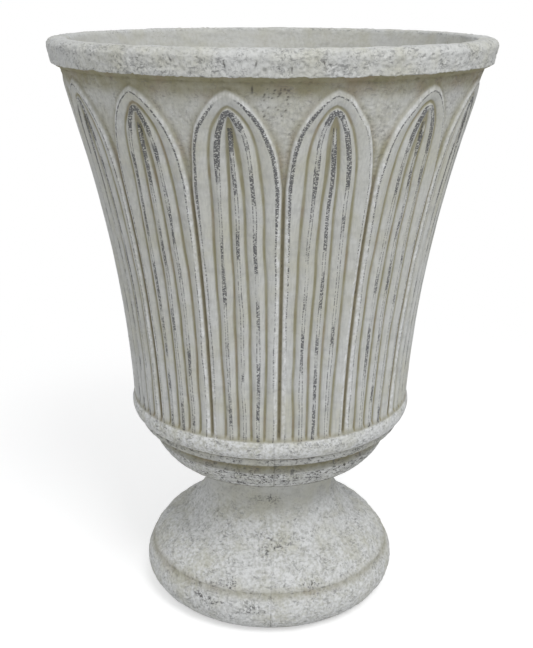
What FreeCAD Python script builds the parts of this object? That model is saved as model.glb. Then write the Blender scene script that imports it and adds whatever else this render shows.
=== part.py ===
import FreeCAD, Part
import math
import os

# Urn planter in two cast-stone pieces, clamped together by a threaded steel pipe that also drains the bowl.
# Millimetres, +Z up, front of the object towards -Y. The origin is on the floor, under the axis.
# A *_HEIGHT is the height of one member or of a point above its lower edge; a *_LEVEL is counted from the floor.

V = FreeCAD.Vector
AXIS = V(0, 0, 1)

# ---- pedestal: neck and domed foot, heights from the foot's underside
PAD_STAND = 3.0              # how far the rubber pads hold the foot off the floor
PEDESTAL_HEIGHT = 144.5      # up to the face under the mortar bed
FOOT_EDGE_RADIUS = 117.5     # at the underside
FOOT_RADIUS = 129.0          # widest point of the foot roll
FOOT_RADIUS_HEIGHT = 24.0
FOOT_GROOVE_RADIUS = 121.0   # shallow groove on top of the roll
FOOT_GROOVE_HEIGHT = 42.0
DOME_EDGE_RADIUS = 121.5
DOME_STEP_HEIGHT = 2.0
DOME_RADIUS = 110.5          # a point on the dome's curve
DOME_HEIGHT = 57.5
DOME_TOP_RADIUS = 89.3       # where the dome turns into the cove of the neck
DOME_TOP_HEIGHT = 70.0
COVE_RADIUS = 75.0
COVE_HEIGHT = 88.0
NECK_RADIUS = 65.5
NECK_HEIGHT = 105.0          # where the cove meets the straight neck
NECK_FLARE_HEIGHT = 130.0    # where the neck starts to widen under the bowl
NECK_FLARE_RADIUS = 67.8     # half way up the flare
NECK_TOP_RADIUS = 73.0
FOOT_RIM_WIDTH = 25.5        # width of the ring that the foot stands on
FOOT_HOLLOW_STEP = 40.0      # height of the straight part of the hollow
HOLLOW_DOME_RADIUS = 67.5    # hollow under the top of the dome
HOLLOW_DOME_HEIGHT = 59.0
HOLLOW_COVE_RADIUS = 55.0    # hollow behind the cove
HOLLOW_COVE_HEIGHT = 83.0
NECK_WALL = 20.0
WEB_THICKNESS = 20.0         # web across the top of the pedestal's hollow

# ---- bowl: mouldings, leaves and rim
JOINT_THICKNESS = 1.5        # mortar bed
OVOLO_HEIGHT = 22.0
OVOLO_BASE_RADIUS = 101.5
OVOLO_MID_RADIUS = 112.6
OVOLO_MID_HEIGHT = 12.5
OVOLO_TOP_RADIUS = 117.6
SCOTIA_HEIGHT = 12.5
SCOTIA_DEPTH = 5.5           # sagitta of the hollow between ovolo and fillet
FILLET_RADIUS = 127.0
FILLET_HEIGHT = 8.0
FILLET_SWELL = 3.5
FILLET_SWELL_HEIGHT = 4.8
BAND_HEIGHT = 20.5
BAND_GAP = 2.5               # nick between fillet and band
BAND_EDGE_RADIUS = 134.0
BAND_RADIUS = 138.4
BAND_SWELL_HEIGHT = 12.3     # of the band's widest point
BAND_TOP_RADIUS = 135.6
LEAF_ZONE_HEIGHT = 312.0     # band to the underside of the rim
LEAF_FOOT_RADIUS = 136.6     # crest of the leaves at the band
LEAF_MID_RADIUS = 150.6      # crest of the leaves between band and rim
LEAF_MID_HEIGHT = 140.4
LEAF_TOP_RADIUS = 191.3      # crest of the leaves at the underside of the rim
RELIEF = 4.3                 # how far the crests stand out from the ground of the frieze
RELIEF_TOP = 2.2             # and under the rim
RIM_RADIUS = 200.0
RIM_LOW_RADIUS = 197.3
RIM_UNDERCUT = 6.0           # rise of the rim's sloping underside
RIM_BAND_HEIGHT = 20.5
RIM_OUTER_ROUND = 6.5
RIM_INNER_ROUND = 3.5
RIM_THICKNESS = 19.0         # from the outside of the rim to the mouth
BOWL_WALL = 17.5             # wall behind the crest of the leaves
FLOOR_THICKNESS = 36.0
FLOOR_RADIUS = 87.0          # flat part of the floor
FLOOR_CORNER_RADIUS = 112.0  # a point on the round corner between floor and wall
FLOOR_CORNER_HEIGHT = 11.5

# ---- leaves
LEAF_COUNT = 14
PATTERN_PHASE = -9.5         # degrees from the front to the plane that leaves, pads and nuts share
LEAF_TIP_GAP = 5.0           # frieze left bare between a leaf's tip and the rim
ARCH_RISE = 71.0             # tip to springing of a leaf's arch
ARCH_SHOULDER_DROP = 0.30    # share of the rise at which the shoulder point lies
ARCH_SHOULDER_WIDTH = 0.67   # share of the half width there
LEAF_GAP = 3.0               # groove between two leaves
GROOVE_WIDTH = 2.8
GROOVE_DEPTH = 2.6
GROOVE_TIP_WIDTH = 4.5       # at the point of the arch, along the leaf
OUTER_RIB_FOOT = 9.3         # width of the outer rib at the band
OUTER_RIB_SPRING = 14.5      # and at the springing
OUTER_GROOVE_DROP = 11.5     # tip of the outer groove below the tip of the leaf
INNER_GROOVE_DROP = 20.5
SPEAR_WIDTH = 9.2            # middle rib, between the inner grooves
LEAF_ROOT = 3.0              # how far a leaf's back reaches into the wall and its foot into the band
LEAF_SECTOR = 1.3            # sector that a leaf is cut from, in leaf pitches

# ---- joint between bowl and pedestal
SPIGOT_RADIUS = 44.0
SPIGOT_HEIGHT = 6.0
SPIGOT_CLEARANCE = 1.0
JOINT_EDGE = 2.0             # mortar bed set back from the neck's edge

# ---- tie pipe and its hardware (half-inch pipe thread)
PIPE_RADIUS = 10.5
PIPE_BORE_RADIUS = 8.0
PIPE_HOLE_CLEARANCE = 1.5
PIPE_TOP_PROJECTION = 2.0    # pipe above the top nut
PIPE_LOW_PROJECTION = 5.0    # pipe below the bottom nut
PIPE_END_CHAMFER = 0.8
THREAD_CLEARANCE = 0.1
NUT_SIDES = 6
NUT_ACROSS_FLATS = 32.0
NUT_HEIGHT = 9.0
NUT_CHAMFER_ANGLE = 30.0
NUT_RECESS_RADIUS = 30.0     # recess in the bowl's floor, wide enough for a socket
NUT_RECESS_DEPTH = 17.0
PLATE_WASHER_RADIUS = 24.0
PLATE_WASHER_THICKNESS = 3.0
SEAL_OVERHANG = 1.0          # rubber past the edge of the plate washer
SEAL_THICKNESS = 3.0
BOTTOM_WASHER_RADIUS = 22.0
BOTTOM_WASHER_THICKNESS = 3.0
WASHER_CLEARANCE = 0.5

# ---- foot pads
PAD_COUNT = 4
PAD_RADIUS = 8.0
PAD_RECESS_DEPTH = 3.0
PAD_CLEARANCE = 0.2
PAD_EDGE_ROUND = 0.8

# ---- levels above the floor
FOOT_LEVEL = PAD_STAND
JOINT_LEVEL = FOOT_LEVEL + PEDESTAL_HEIGHT
BOWL_LEVEL = JOINT_LEVEL + JOINT_THICKNESS
OVOLO_LEVEL = BOWL_LEVEL + OVOLO_HEIGHT
SCOTIA_LEVEL = OVOLO_LEVEL + SCOTIA_HEIGHT
FILLET_LEVEL = SCOTIA_LEVEL + FILLET_HEIGHT
BAND_LEVEL = FILLET_LEVEL + BAND_HEIGHT
RIM_UNDER_LEVEL = BAND_LEVEL + LEAF_ZONE_HEIGHT
RIM_LOW_LEVEL = RIM_UNDER_LEVEL + RIM_UNDERCUT
TOP_LEVEL = RIM_LOW_LEVEL + RIM_BAND_HEIGHT
LEAF_MID_LEVEL = BAND_LEVEL + LEAF_MID_HEIGHT
LEAF_TIP_LEVEL = RIM_UNDER_LEVEL - LEAF_TIP_GAP
SPRING_LEVEL = LEAF_TIP_LEVEL - ARCH_RISE
LEAF_FOOT_LEVEL = BAND_LEVEL - LEAF_ROOT
FLOOR_LEVEL = BOWL_LEVEL + FLOOR_THICKNESS
SPIGOT_LEVEL = JOINT_LEVEL + SPIGOT_HEIGHT
WEB_LEVEL = JOINT_LEVEL - WEB_THICKNESS
SEAL_LEVEL = FLOOR_LEVEL - NUT_RECESS_DEPTH
PLATE_LEVEL = SEAL_LEVEL + SEAL_THICKNESS
TOP_NUT_LEVEL = PLATE_LEVEL + PLATE_WASHER_THICKNESS
PIPE_TOP_LEVEL = TOP_NUT_LEVEL + NUT_HEIGHT + PIPE_TOP_PROJECTION
BOTTOM_WASHER_LEVEL = WEB_LEVEL - BOTTOM_WASHER_THICKNESS
BOTTOM_NUT_LEVEL = BOTTOM_WASHER_LEVEL - NUT_HEIGHT
PIPE_LOW_LEVEL = BOTTOM_NUT_LEVEL - PIPE_LOW_PROJECTION

# ---- radii that follow from the sizes above
MOUTH_RADIUS = RIM_RADIUS - RIM_THICKNESS
FOOT_HOLLOW_RADIUS = FOOT_EDGE_RADIUS - FOOT_RIM_WIDTH
NECK_HOLLOW_RADIUS = NECK_RADIUS - NECK_WALL
SPIGOT_SEAT_RADIUS = SPIGOT_RADIUS + SPIGOT_CLEARANCE
PIPE_HOLE_RADIUS = PIPE_RADIUS + PIPE_HOLE_CLEARANCE
NUT_BORE_RADIUS = PIPE_RADIUS + THREAD_CLEARANCE
WASHER_BORE_RADIUS = PIPE_RADIUS + WASHER_CLEARANCE

OVERSHOOT = 1.0                              # cutters pass the faces that they cut by this much
TOLERANCE = 0.001
QUARTER_ROUND_INSET = 1.0 - math.sqrt(0.5)   # middle of a quarter round from both its sides, in radii


def line(a, b):
    """Straight edge between two (radius, level) points of a profile."""
    return Part.LineSegment(V(a[0], 0, a[1]), V(b[0], 0, b[1])).toShape()


def arc(a, through, b):
    """Round edge from a to b through a third (radius, level) point."""
    points = [V(p[0], 0, p[1]) for p in (a, through, b)]
    return Part.Arc(*points).toShape()


def closed(points):
    """Straight edges round a closed profile."""
    return [line(a, b) for a, b in zip(points, points[1:] + points[:1])]


def turned(edges, angle=360.0):
    """Solid of revolution of a closed profile; less than a full turn is centred on +X."""
    face = Part.Face(Part.Wire(edges))
    face.rotate(V(0, 0, 0), AXIS, -angle / 2.0)
    return face.revolve(V(0, 0, 0), AXIS, angle)


def cylinder(radius, low, high, x=0.0, y=0.0):
    """Upright cylinder between two levels."""
    return Part.makeCylinder(radius, high - low, V(x, y, low))


def ring(outer, inner, low, high):
    """Flat ring between two levels."""
    return cylinder(outer, low, high).cut(cylinder(inner, low - OVERSHOOT, high + OVERSHOOT))


def radius_at(points, level):
    """Radius at a level on the round profile through three (radius, level) points."""
    (x1, y1), (x2, y2), (x3, y3) = points
    d = 2.0 * (x1 * (y2 - y3) + x2 * (y3 - y1) + x3 * (y1 - y2))
    s1 = x1 * x1 + y1 * y1
    s2 = x2 * x2 + y2 * y2
    s3 = x3 * x3 + y3 * y3
    centre_x = (s1 * (y2 - y3) + s2 * (y3 - y1) + s3 * (y1 - y2)) / d
    centre_y = (s1 * (x3 - x2) + s2 * (x1 - x3) + s3 * (x2 - x1)) / d
    reach = math.hypot(x1 - centre_x, y1 - centre_y)
    side = math.copysign(1.0, x1 - centre_x)
    return centre_x + side * math.sqrt(reach ** 2 - (level - centre_y) ** 2)


def flare(inset, inset_top):
    """Three points of the bowl's flare, set in from the crest of the leaves."""
    return ((LEAF_FOOT_RADIUS - inset, BAND_LEVEL),
            (LEAF_MID_RADIUS - inset, LEAF_MID_LEVEL),
            (LEAF_TOP_RADIUS - inset_top, RIM_UNDER_LEVEL))


CREST = flare(0.0, 0.0)
GROUND = flare(RELIEF, RELIEF_TOP)
HOLLOW = flare(BOWL_WALL, BOWL_WALL)


def scotia_point():
    """Deepest point of the hollow moulding between the ovolo and the fillet."""
    run = FILLET_RADIUS - OVOLO_TOP_RADIUS
    chord = math.hypot(run, SCOTIA_HEIGHT)
    middle = ((OVOLO_TOP_RADIUS + FILLET_RADIUS) / 2.0, (OVOLO_LEVEL + SCOTIA_LEVEL) / 2.0)
    return (middle[0] - SCOTIA_DEPTH * SCOTIA_HEIGHT / chord, middle[1] + SCOTIA_DEPTH * run / chord)


def moulding_edges():
    """Outside of the bowl from its underside up to the band: ovolo, scotia, fillet and band."""
    underside = (OVOLO_BASE_RADIUS, BOWL_LEVEL)
    ovolo_mid = (OVOLO_MID_RADIUS, BOWL_LEVEL + OVOLO_MID_HEIGHT)
    ovolo_top = (OVOLO_TOP_RADIUS, OVOLO_LEVEL)
    fillet_low = (FILLET_RADIUS, SCOTIA_LEVEL)
    fillet_mid = (FILLET_RADIUS + FILLET_SWELL, SCOTIA_LEVEL + FILLET_SWELL_HEIGHT)
    fillet_top = (FILLET_RADIUS + FILLET_SWELL, FILLET_LEVEL)
    band_low = (BAND_EDGE_RADIUS, FILLET_LEVEL + BAND_GAP)
    band_mid = (BAND_RADIUS, FILLET_LEVEL + BAND_SWELL_HEIGHT)
    band_top = (BAND_TOP_RADIUS, BAND_LEVEL)
    return [
        line((0, BOWL_LEVEL), underside),
        arc(underside, ovolo_mid, ovolo_top),
        arc(ovolo_top, scotia_point(), fillet_low),
        arc(fillet_low, fillet_mid, fillet_top),
        line(fillet_top, band_low),
        arc(band_low, band_mid, band_top),
        line(band_top, GROUND[0]),
    ]


def rim_edges():
    """Rim from the frieze over the top to the hollow."""
    outer = RIM_OUTER_ROUND * QUARTER_ROUND_INSET
    inner = RIM_INNER_ROUND * QUARTER_ROUND_INSET
    low = (RIM_LOW_RADIUS, RIM_LOW_LEVEL)
    face = (RIM_RADIUS, TOP_LEVEL - RIM_OUTER_ROUND)
    face_corner = (RIM_RADIUS - outer, TOP_LEVEL - outer)
    top_outside = (RIM_RADIUS - RIM_OUTER_ROUND, TOP_LEVEL)
    top_inside = (MOUTH_RADIUS + RIM_INNER_ROUND, TOP_LEVEL)
    mouth_corner = (MOUTH_RADIUS + inner, TOP_LEVEL - inner)
    mouth = (MOUTH_RADIUS, TOP_LEVEL - RIM_INNER_ROUND)
    return [
        line(GROUND[2], low),
        line(low, face),
        arc(face, face_corner, top_outside),
        line(top_outside, top_inside),
        arc(top_inside, mouth_corner, mouth),
        line(mouth, HOLLOW[2]),
    ]


def hollow_edges():
    """Inside of the bowl down to the axis."""
    corner = (FLOOR_CORNER_RADIUS, FLOOR_LEVEL + FLOOR_CORNER_HEIGHT)
    floor_edge = (FLOOR_RADIUS, FLOOR_LEVEL)
    return [
        arc(HOLLOW[2], HOLLOW[1], HOLLOW[0]),
        arc(HOLLOW[0], corner, floor_edge),
        line(floor_edge, (0, FLOOR_LEVEL)),
        line((0, FLOOR_LEVEL), (0, BOWL_LEVEL)),
    ]


def side_edge(a, through, b):
    """Edge in the plane of a leaf through three (half width, level) points, straight where they are in line."""
    start, middle, end = [V(0, width, level) for width, level in (a, through, b)]
    if (middle - start).cross(end - start).Length < TOLERANCE:
        return Part.LineSegment(start, end).toShape()
    return Part.Arc(start, middle, end).toShape()


def lancet(half_foot, half_mid, half_spring, tip):
    """Pointed arch in the plane of a leaf: half widths at foot, middle and springing, level of the tip."""
    middle = (LEAF_FOOT_LEVEL + SPRING_LEVEL) / 2.0
    shoulder = tip - ARCH_SHOULDER_DROP * (tip - SPRING_LEVEL)
    half_shoulder = ARCH_SHOULDER_WIDTH * half_spring
    edges = [Part.LineSegment(V(0, -half_foot, LEAF_FOOT_LEVEL), V(0, half_foot, LEAF_FOOT_LEVEL)).toShape()]
    for side in (1.0, -1.0):
        edges.append(side_edge((side * half_foot, LEAF_FOOT_LEVEL), (side * half_mid, middle),
                               (side * half_spring, SPRING_LEVEL)))
        edges.append(side_edge((side * half_spring, SPRING_LEVEL), (side * half_shoulder, shoulder),
                               (0.0, tip)))
    return Part.Face(Part.Wire(Part.sortEdges(edges)[0]))


def leaf_half_width(level):
    """Half the width of a leaf at a level, up to the groove that parts it from the next one."""
    return radius_at(CREST, level) * math.sin(math.pi / LEAF_COUNT) - LEAF_GAP / 2.0


def flare_shell(inset_out, inset_in):
    """Sector of a shell that follows the crest of the leaves, between two insets from it."""
    levels = (LEAF_FOOT_LEVEL - OVERSHOOT, LEAF_MID_LEVEL, RIM_UNDER_LEVEL)
    outer, inner = [[(radius_at(CREST, level) - inset, level) for level in levels]
                    for inset in (inset_out, inset_in)]
    edges = [arc(*outer), line(outer[2], inner[2]), arc(*inner), line(inner[0], outer[0])]
    return turned(edges, LEAF_SECTOR * 360.0 / LEAF_COUNT)


def leaf():
    """One leaf on +X: a pointed slab whose two arch-shaped grooves leave an outer rib, an arch and a spear."""
    middle = (LEAF_FOOT_LEVEL + SPRING_LEVEL) / 2.0
    halves = [leaf_half_width(level) for level in (LEAF_FOOT_LEVEL, middle, SPRING_LEVEL)]
    ribs = (OUTER_RIB_FOOT, (OUTER_RIB_FOOT + OUTER_RIB_SPRING) / 2.0, OUTER_RIB_SPRING)
    through = V(2.0 * RIM_RADIUS, 0, 0)
    slab = lancet(*halves, LEAF_TIP_LEVEL).extrude(through).common(flare_shell(0.0, RELIEF + LEAF_ROOT))
    outer_halves = [half - rib for half, rib in zip(halves, ribs)]
    inner_halves = [SPEAR_WIDTH / 2.0 + GROOVE_WIDTH] * len(halves)
    for groove_halves, drop in ((outer_halves, OUTER_GROOVE_DROP), (inner_halves, INNER_GROOVE_DROP)):
        tip = LEAF_TIP_LEVEL - drop
        left_inside = lancet(*[half - GROOVE_WIDTH for half in groove_halves], tip - GROOVE_TIP_WIDTH)
        groove = lancet(*groove_halves, tip).cut(left_inside)
        slab = slab.cut(groove.extrude(through).common(flare_shell(-GROOVE_DEPTH, GROOVE_DEPTH)))
    return slab


def bowl():
    """Bowl with its leaves, the seat of the spigot, the hole for the pipe and the recess for its nut."""
    body = turned(moulding_edges() + [arc(*GROUND)] + rim_edges() + hollow_edges())
    one = leaf()
    leaves = []
    for index in range(LEAF_COUNT):
        copy = one.copy()
        copy.rotate(V(0, 0, 0), AXIS, PATTERN_PHASE - 90.0 + 360.0 * index / LEAF_COUNT)
        leaves.append(copy)
    seat = cylinder(SPIGOT_SEAT_RADIUS, BOWL_LEVEL - OVERSHOOT, SPIGOT_LEVEL + SPIGOT_CLEARANCE)
    hole = cylinder(PIPE_HOLE_RADIUS, BOWL_LEVEL, FLOOR_LEVEL)
    recess = cylinder(NUT_RECESS_RADIUS, SEAL_LEVEL, FLOOR_LEVEL + OVERSHOOT)
    return body.multiFuse(leaves).cut([seat, hole, recess])


def pedestal_edges():
    """Closed profile of the pedestal: foot, dome, cove, neck, spigot, web and hollow."""
    foot_edge = (FOOT_EDGE_RADIUS, FOOT_LEVEL)
    roll = (FOOT_RADIUS, FOOT_LEVEL + FOOT_RADIUS_HEIGHT)
    groove = (FOOT_GROOVE_RADIUS, FOOT_LEVEL + FOOT_GROOVE_HEIGHT)
    dome_edge = (DOME_EDGE_RADIUS, FOOT_LEVEL + FOOT_GROOVE_HEIGHT + DOME_STEP_HEIGHT)
    dome = (DOME_RADIUS, FOOT_LEVEL + DOME_HEIGHT)
    dome_top = (DOME_TOP_RADIUS, FOOT_LEVEL + DOME_TOP_HEIGHT)
    cove = (COVE_RADIUS, FOOT_LEVEL + COVE_HEIGHT)
    neck_low = (NECK_RADIUS, FOOT_LEVEL + NECK_HEIGHT)
    neck_high = (NECK_RADIUS, FOOT_LEVEL + NECK_FLARE_HEIGHT)
    neck_flare = (NECK_FLARE_RADIUS, (neck_high[1] + JOINT_LEVEL) / 2.0)
    neck_top = (NECK_TOP_RADIUS, JOINT_LEVEL)
    hollow_top = (NECK_HOLLOW_RADIUS, WEB_LEVEL)
    hollow_neck = (NECK_HOLLOW_RADIUS, neck_low[1])
    hollow_cove = (HOLLOW_COVE_RADIUS, FOOT_LEVEL + HOLLOW_COVE_HEIGHT)
    hollow_dome = (HOLLOW_DOME_RADIUS, FOOT_LEVEL + HOLLOW_DOME_HEIGHT)
    hollow_step = (FOOT_HOLLOW_RADIUS, FOOT_LEVEL + FOOT_HOLLOW_STEP)
    return [
        arc(foot_edge, roll, groove),
        line(groove, dome_edge),
        arc(dome_edge, dome, dome_top),
        arc(dome_top, cove, neck_low),
        line(neck_low, neck_high),
        arc(neck_high, neck_flare, neck_top),
        line(neck_top, (SPIGOT_RADIUS, JOINT_LEVEL)),
        line((SPIGOT_RADIUS, JOINT_LEVEL), (SPIGOT_RADIUS, SPIGOT_LEVEL)),
        line((SPIGOT_RADIUS, SPIGOT_LEVEL), (0, SPIGOT_LEVEL)),
        line((0, SPIGOT_LEVEL), (0, WEB_LEVEL)),
        line((0, WEB_LEVEL), hollow_top),
        line(hollow_top, hollow_neck),
        arc(hollow_neck, hollow_cove, hollow_dome),
        line(hollow_dome, hollow_step),
        line(hollow_step, (FOOT_HOLLOW_RADIUS, FOOT_LEVEL)),
        line((FOOT_HOLLOW_RADIUS, FOOT_LEVEL), foot_edge),
    ]


def pad_places():
    """Middles of the foot pads, the first one half a step from the plane that the patterns share."""
    circle = FOOT_EDGE_RADIUS - FOOT_RIM_WIDTH / 2.0
    places = []
    for index in range(PAD_COUNT):
        angle = math.radians(PATTERN_PHASE - 90.0 + 360.0 * (index + 0.5) / PAD_COUNT)
        places.append((circle * math.cos(angle), circle * math.sin(angle)))
    return places


def pedestal():
    """Neck and foot: hollow from below, closed by the web, with the spigot on top and recesses for the pads."""
    cutters = [cylinder(PIPE_HOLE_RADIUS, WEB_LEVEL - OVERSHOOT, SPIGOT_LEVEL + OVERSHOOT)]
    for x, y in pad_places():
        cutters.append(cylinder(PAD_RADIUS + PAD_CLEARANCE, FOOT_LEVEL - OVERSHOOT,
                                FOOT_LEVEL + PAD_RECESS_DEPTH, x, y))
    return turned(pedestal_edges()).cut(cutters)


def bedding_joint():
    """Mortar bed between pedestal and bowl, round the spigot."""
    return ring(NECK_TOP_RADIUS - JOINT_EDGE, SPIGOT_SEAT_RADIUS, JOINT_LEVEL, BOWL_LEVEL)


def tie_pipe():
    """Threaded pipe with chamfered ends that clamps the bowl to the pedestal and drains the bowl."""
    chamfered = PIPE_RADIUS - PIPE_END_CHAMFER
    return turned(closed([
        (PIPE_BORE_RADIUS, PIPE_LOW_LEVEL),
        (chamfered, PIPE_LOW_LEVEL),
        (PIPE_RADIUS, PIPE_LOW_LEVEL + PIPE_END_CHAMFER),
        (PIPE_RADIUS, PIPE_TOP_LEVEL - PIPE_END_CHAMFER),
        (chamfered, PIPE_TOP_LEVEL),
        (PIPE_BORE_RADIUS, PIPE_TOP_LEVEL),
    ]))


def hex_nut(low):
    """Hexagon pipe nut with both faces chamfered, its lower face at a level."""
    flat_radius = NUT_ACROSS_FLATS / 2.0
    corner_radius = flat_radius / math.cos(math.pi / NUT_SIDES)
    high = low + NUT_HEIGHT
    corners = []
    for index in range(NUT_SIDES + 1):
        angle = math.radians(PATTERN_PHASE + 360.0 * index / NUT_SIDES)
        corners.append(V(corner_radius * math.cos(angle), corner_radius * math.sin(angle), low))
    prism = Part.Face(Part.makePolygon(corners)).extrude(V(0, 0, NUT_HEIGHT))
    drop = (corner_radius - flat_radius) * math.tan(math.radians(NUT_CHAMFER_ANGLE))
    chamfered = turned(closed([
        (0, low),
        (flat_radius, low),
        (corner_radius, low + drop),
        (corner_radius, high - drop),
        (flat_radius, high),
        (0, high),
    ]))
    bore = cylinder(NUT_BORE_RADIUS, low - OVERSHOOT, high + OVERSHOOT)
    return prism.common(chamfered).cut(bore)


def top_nut():
    return hex_nut(TOP_NUT_LEVEL)


def bottom_nut():
    return hex_nut(BOTTOM_NUT_LEVEL)


def sealing_washer():
    return ring(PLATE_WASHER_RADIUS + SEAL_OVERHANG, NUT_BORE_RADIUS, SEAL_LEVEL, PLATE_LEVEL)


def plate_washer():
    return ring(PLATE_WASHER_RADIUS, WASHER_BORE_RADIUS, PLATE_LEVEL, TOP_NUT_LEVEL)


def bottom_washer():
    return ring(BOTTOM_WASHER_RADIUS, WASHER_BORE_RADIUS, BOTTOM_WASHER_LEVEL, WEB_LEVEL)


def foot_pads():
    """Round rubber pads, seated in the recesses under the foot."""
    pads = []
    for x, y in pad_places():
        pad = cylinder(PAD_RADIUS, 0.0, FOOT_LEVEL + PAD_RECESS_DEPTH, x, y)
        lower_edge = [edge for edge in pad.Edges if edge.BoundBox.ZMax < TOLERANCE]
        pads.append(pad.makeFillet(PAD_EDGE_ROUND, lower_edge))
    return Part.makeCompound(pads)


NODES = {
    "bowl": bowl,
    "pedestal": pedestal,
    "bedding_joint": bedding_joint,
    "tie_pipe": tie_pipe,
    "top_nut": top_nut,
    "plate_washer": plate_washer,
    "sealing_washer": sealing_washer,
    "bottom_washer": bottom_washer,
    "bottom_nut": bottom_nut,
    "foot_pads": foot_pads,
}

os.makedirs("parts", exist_ok=True)
for node, make in NODES.items():
    shape = make()
    shape.exportStep("parts/" + node + ".step")
    print(node, len(shape.Solids), "solids", round(shape.Volume / 1000.0, 1), "cm3", shape.isValid())
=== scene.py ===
import math

import bpy
import numpy as np
from mathutils import Matrix


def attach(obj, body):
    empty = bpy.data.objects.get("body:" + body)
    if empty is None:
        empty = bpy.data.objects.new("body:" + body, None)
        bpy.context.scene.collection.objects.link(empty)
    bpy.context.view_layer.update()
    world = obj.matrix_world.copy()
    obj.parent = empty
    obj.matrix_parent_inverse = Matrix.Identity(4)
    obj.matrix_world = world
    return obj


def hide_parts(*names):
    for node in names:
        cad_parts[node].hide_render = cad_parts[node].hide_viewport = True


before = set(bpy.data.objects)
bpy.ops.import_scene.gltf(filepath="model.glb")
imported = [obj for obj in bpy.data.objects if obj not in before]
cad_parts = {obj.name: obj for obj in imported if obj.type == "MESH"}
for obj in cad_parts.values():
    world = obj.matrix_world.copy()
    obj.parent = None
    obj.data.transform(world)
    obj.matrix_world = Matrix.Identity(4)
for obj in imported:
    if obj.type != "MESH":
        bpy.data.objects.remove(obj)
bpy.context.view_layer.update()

# The looks of an urn planter: two whitewashed cast-stone castings with worn ribs, on a plain pale floor.
# Lengths are millimetres in the part's frame, apart from the floor and the lamps, which are in metres.
# Angles are degrees round +Z from +X, or from the front where a comment says so. The front is -Y.
MM = 0.001

# ---- camera, in millimetres, degrees and picture pixels
PICTURE_WIDTH, PICTURE_HEIGHT = 533.0, 648.0
CAMERA_PLACE = (0.0, -938.49, 592.18)
CAMERA_PITCH, CAMERA_YAW, CAMERA_ROLL = 20.1237, -0.4436, 0.1475
FOCAL_PIXELS = 996.35
AXIS_PIXEL = (263.1, 350.93)
SENSOR = 36.0

# ---- main levels and the ring of leaves
FRONT = -90.0
LEAF_COUNT = 14
LEAF_PITCH = 2.0 * math.pi / LEAF_COUNT
LEAF_PHASE = -9.5
BAND_LEVEL, SPRING_LEVEL, TIP_LEVEL, RIM_LEVEL = 212.0, 448.0, 520.0, 525.5
CREST = ((136.6, 212.0), (150.6, 352.4), (191.3, 524.0))
RELIEF_LOW, RELIEF_TOP, RELIEF_LEDGE, LEDGE_HEIGHT = 4.3, 2.8, 0.8, 4.5
BOWL_WALL = 17.5
INSIDE = [(radius - BOWL_WALL, level) for radius, level in CREST]

# ---- outlines of the castings: zone, spacing of the mesh, then start, any middle and end as (radius, level)
BOWL_BELOW_LEAVES = (
    ("under", 5.0, (45.0, 149.0), (101.5, 149.0)),
    ("ovolo", 0.9, (101.5, 149.0), (112.6, 161.5), (117.6, 171.0)),
    ("scotia", 0.8, (117.6, 171.0), (117.6, 180.6), (127.0, 183.5)),
    ("fillet", 0.8, (127.0, 183.5), (130.5, 188.3), (130.5, 191.5)),
    ("nick", 0.8, (130.5, 191.5), (134.0, 194.0)),
    ("band", 0.8, (134.0, 194.0), (138.4, 203.4), (137.2, 211.4)))
RIM_CORNER = (196.6, 529.4)
BOWL_ABOVE_LEAVES = (
    ("rim", 0.5, RIM_CORNER, (197.3, 529.9), (197.5, 530.6)),
    ("rim", 0.8, (197.5, 530.6), (200.0, 544.0)),
    ("rim", 0.8, (200.0, 544.0), (198.1, 548.6), (193.5, 550.5)),
    ("rim_top", 0.9, (193.5, 550.5), (184.5, 550.5)),
    ("rim_top", 0.8, (184.5, 550.5), (182.0, 549.5), (181.0, 547.0)),
    ("inside", 1.5, (181.0, 547.0), INSIDE[2]),
    ("inside", 3.0, INSIDE[2], INSIDE[1], INSIDE[0]),
    ("inside", 2.5, INSIDE[0], (112.0, 196.5), (87.0, 185.0)),
    ("floor", 3.0, (87.0, 185.0), (30.0, 185.0)),
    ("recess", 2.5, (30.0, 185.0), (30.0, 168.0)),
    ("recess", 2.5, (30.0, 168.0), (12.0, 168.0)),
    ("recess", 2.5, (12.0, 168.0), (12.0, 154.5)),
    ("recess", 3.0, (12.0, 154.5), (45.0, 154.5)),
    ("recess", 1.5, (45.0, 154.5), (45.0, 149.0)))
PEDESTAL = (
    ("stand", 0.7, (92.0, 3.0), (116.5, 3.0)),
    ("stand", 0.5, (116.5, 3.0), (117.4, 3.4), (117.9, 4.4)),
    ("roll", 0.95, (117.9, 4.4), (129.0, 27.0), (122.0, 43.6)),
    ("groove", 0.7, (122.0, 43.6), (121.0, 45.0), (121.2, 46.6)),
    ("dome", 0.95, (121.2, 46.6), (110.5, 60.5), (89.3, 73.0)),
    ("cove", 0.95, (89.3, 73.0), (75.0, 91.0), (65.5, 108.0)),
    ("neck", 1.0, (65.5, 108.0), (65.5, 133.0)),
    ("neck", 1.0, (65.5, 133.0), (67.8, 140.2), (73.0, 147.5)),
    ("inner", 3.0, (73.0, 147.5), (44.0, 147.5)),
    ("inner", 2.0, (44.0, 147.5), (44.0, 153.5)),
    ("inner", 3.0, (44.0, 153.5), (12.0, 153.5)),
    ("inner", 3.0, (12.0, 153.5), (12.0, 127.5)),
    ("hollow", 3.0, (12.0, 127.5), (45.5, 127.5)),
    ("hollow", 2.5, (45.5, 127.5), (45.5, 108.0)),
    ("hollow", 2.0, (45.5, 108.0), (55.0, 86.0), (67.5, 62.0)),
    ("hollow", 2.0, (67.5, 62.0), (92.0, 43.0)),
    ("hollow", 2.0, (92.0, 43.0), (92.0, 3.0)))
PAD_PLACES = [FRONT + LEAF_PHASE + 45.0 + 90.0 * k for k in range(4)]
PAD_CIRCLE, PAD_RECESS_RADIUS, PAD_RECESS_DEPTH = 104.75, 8.5, 3.0

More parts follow.
